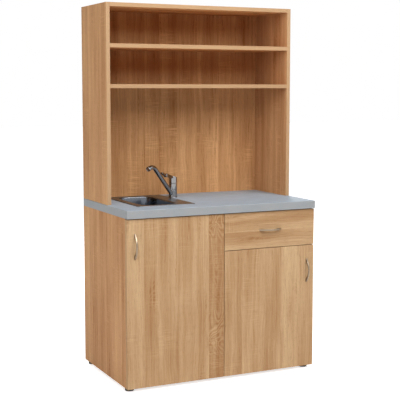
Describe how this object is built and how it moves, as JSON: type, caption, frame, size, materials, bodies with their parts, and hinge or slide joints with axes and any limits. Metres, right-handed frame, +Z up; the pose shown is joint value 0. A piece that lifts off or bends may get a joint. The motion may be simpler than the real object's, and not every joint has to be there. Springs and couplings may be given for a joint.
{
  "type": "kitchenette unit",
  "caption": "Free-standing kitchenette with inset sink, single lever tap, hinged doors, a drawer and an open shelf unit above a laminate worktop.",
  "frame": {"origin": "floor level, under the middle of the box around the closed unit", "axes": "+X to the unit's right seen from the front, +Y to the back, +Z up; the fronts face -Y"},
  "size_m": [1, 0.6184, 1.806],
  "materials": {
    "decor_board": "satin decor, saw-marked oak",
    "drawer_board": "smooth white",
    "chrome": "polished",
    "zinc_steel": "zinc plated",
    "stainless": "fine brushed stainless steel",
    "worktop_laminate": "fine matt laminate",
    "black_plastic": "matt",
    "white_plastic": "smooth",
    "foam_rubber": "foam",
    "beech": "raw",
    "brass": "satin"
  },
  "bodies": {
    "cabinet": {"base_back": "decor_board", "base_bottom": "decor_board", "base_left_side": "decor_board", "base_partition": "decor_board", "base_right_side": "decor_board", "base_shelf": "decor_board", "cabinet_screws": "zinc_steel", "dowels": "beech", "drawer_rail": "decor_board", "feet": "black_plastic", "foot_studs": "zinc_steel", "high_shelf": "decor_board", "hinge_arms": "zinc_steel", "low_shelf": "decor_board", "runner_fixed_members": "zinc_steel", "shelf_pins": "zinc_steel", "sink": "stainless", "sink_clips": "zinc_steel", "sink_seal": "foam_rubber", "tap_body": "chrome", "tap_cartridge": "white_plastic", "tap_fixing": "zinc_steel", "tap_inlets": "brass", "top_board": "decor_board", "top_rails": "decor_board", "trap_body": "white_plastic", "trap_cup": "white_plastic", "trap_inlet_pipe": "white_plastic", "trap_outlet_pipe": "white_plastic", "upper_back": "decor_board", "upper_left_side": "decor_board", "upper_right_side": "decor_board", "wall_plates": "zinc_steel", "waste_flange": "stainless", "waste_nuts": "white_plastic", "worktop": "worktop_laminate"},
    "left_door": {"left_door": "decor_board", "left_door_handle": "chrome", "left_door_handle_screws": "zinc_steel", "left_door_hinge_cups": "zinc_steel"},
    "right_door": {"right_door": "decor_board", "right_door_handle": "chrome", "right_door_handle_screws": "zinc_steel", "right_door_hinge_cups": "zinc_steel"},
    "drawer": {"drawer_front": "decor_board", "drawer_left_side": "drawer_board", "drawer_right_side": "drawer_board", "drawer_back": "drawer_board", "drawer_floor": "drawer_board", "drawer_handle": "chrome", "drawer_handle_screws": "zinc_steel", "runner_drawer_members": "zinc_steel"},
    "runner_middles": {"runner_middle_members": "zinc_steel"},
    "tap_spout": {"tap_spout": "chrome", "aerator": "chrome"},
    "tap_stem": {"tap_stem": "zinc_steel"},
    "tap_lever": {"tap_lever": "chrome", "lever_pin": "zinc_steel"},
    "strainer_plug": {"strainer_plug": "stainless"}
  },
  "joints": [
    {"name": "left_door_swing", "type": "hinge", "parent": "cabinet", "child": "left_door", "pos_m": [-0.0015, -0.28125, 0.017], "axis": [0, 0, 1], "range_deg": [0, 88]},
    {"name": "right_door_swing", "type": "hinge", "parent": "cabinet", "child": "right_door", "pos_m": [0.0015, -0.28125, 0.017], "axis": [0, 0, -1], "range_deg": [0, 88]},
    {"name": "drawer_slide", "type": "slide", "parent": "cabinet", "child": "drawer", "axis": [0, -1, 0], "range_m": [0, 0.4]},
    {"name": "runner_slide", "type": "slide", "parent": "cabinet", "child": "runner_middles", "axis": [0, -1, 0], "range_m": [0, 0.2]},
    {"name": "spout_swivel", "type": "hinge", "parent": "cabinet", "child": "tap_spout", "pos_m": [-0.07566, 0.14925, 0.851], "axis": [0, 0, 1], "range_deg": [-60, 120]},
    {"name": "lever_turn", "type": "hinge", "parent": "cabinet", "child": "tap_stem", "pos_m": [-0.07566, 0.14925, 0.851], "axis": [0, 0, 1], "range_deg": [-45, 45]},
    {"name": "lever_lift", "type": "hinge", "parent": "tap_stem", "child": "tap_lever", "pos_m": [-0.06421, 0.1564, 0.928], "axis": [-0.5299, 0.848, 0], "range_deg": [0, 20]},
    {"name": "plug_lift", "type": "slide", "parent": "cabinet", "child": "strainer_plug", "axis": [0, 0, 1], "range_m": [0, 0.06]}
  ],
  "couplings": [
    {"joint": "runner_slide", "follows": "drawer_slide", "ratio": 0.5}
  ]
}
